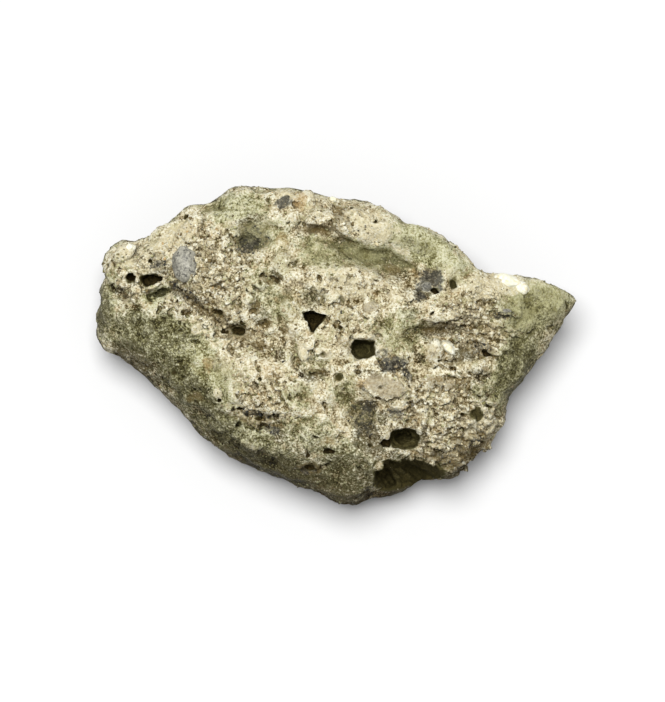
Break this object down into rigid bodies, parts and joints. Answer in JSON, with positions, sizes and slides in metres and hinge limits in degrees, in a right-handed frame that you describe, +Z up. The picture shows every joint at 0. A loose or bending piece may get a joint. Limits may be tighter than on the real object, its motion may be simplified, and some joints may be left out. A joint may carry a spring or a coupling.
{
  "type": "trinitite specimen",
  "caption": "Irregular lump of fused green glass and desert sand with burst gas bubbles, resting on its flattened underside.",
  "frame": {"origin": "on the resting surface, below the middle of the stone's bounding box", "axes": "+X along the stone towards its thin wing, +Y across it, +Z up from the resting surface"},
  "size_m": [0.0318, 0.0212, 0.0099],
  "materials": {
    "fused_sand": "matte"
  },
  "bodies": {
    "root": {"trinitite": "fused_sand"}
  },
  "joints": []
}
